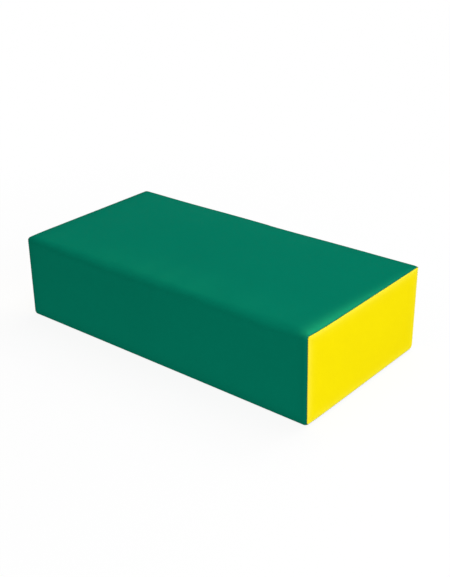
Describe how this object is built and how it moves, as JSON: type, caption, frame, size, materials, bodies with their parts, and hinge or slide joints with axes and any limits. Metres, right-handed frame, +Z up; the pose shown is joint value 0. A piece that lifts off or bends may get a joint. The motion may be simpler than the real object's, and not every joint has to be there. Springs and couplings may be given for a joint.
{
  "type": "soft foam block",
  "caption": "Rectangular foam block in a zipped cover of coated sheet, green round the long faces with yellow ends, used as a soft step or building block.",
  "frame": {"origin": "middle of the base, on the surface that the block rests on", "axes": "+X along the length to the right end as seen from the front, +Y to the back, where the zip is, +Z up"},
  "size_m": [0.6, 0.3062, 0.15],
  "materials": {
    "green_sheet": "satin",
    "yellow_sheet": "satin",
    "foam": "matte",
    "thread": "satin",
    "zip_tape": "matte",
    "zip_plastic": "satin",
    "zip_metal": "satin"
  },
  "bodies": {
    "block": {"foam_core": "foam", "wrap_sheet": "green_sheet", "end_panel_right": "yellow_sheet", "end_panel_left": "yellow_sheet", "end_seam_thread_right": "thread", "end_seam_thread_left": "thread", "zip_seam_thread_upper": "thread", "zip_seam_thread_lower": "thread", "closing_seam_threads": "thread", "zip_bar_tacks": "thread", "zip_tape_upper": "zip_tape", "zip_tape_lower": "zip_tape", "zip_teeth_upper": "zip_plastic", "zip_teeth_lower": "zip_plastic", "zip_top_stops": "zip_metal", "zip_bottom_stop": "zip_metal"},
    "slider": {"zip_slider": "zip_metal"},
    "pull_tab": {"zip_pull_tab": "zip_metal"}
  },
  "joints": [
    {"name": "zip_travel", "type": "slide", "parent": "block", "child": "slider", "axis": [1, 0, 0], "range_m": [0, 0.479], "deforming": ["zip_teeth_upper", "zip_teeth_lower"]},
    {"name": "tab_swing", "type": "hinge", "parent": "slider", "child": "pull_tab", "pos_m": [-0.23973, 0.15405, 0.032], "axis": [0, 0, 1], "range_deg": [-2, 182]}
  ]
}
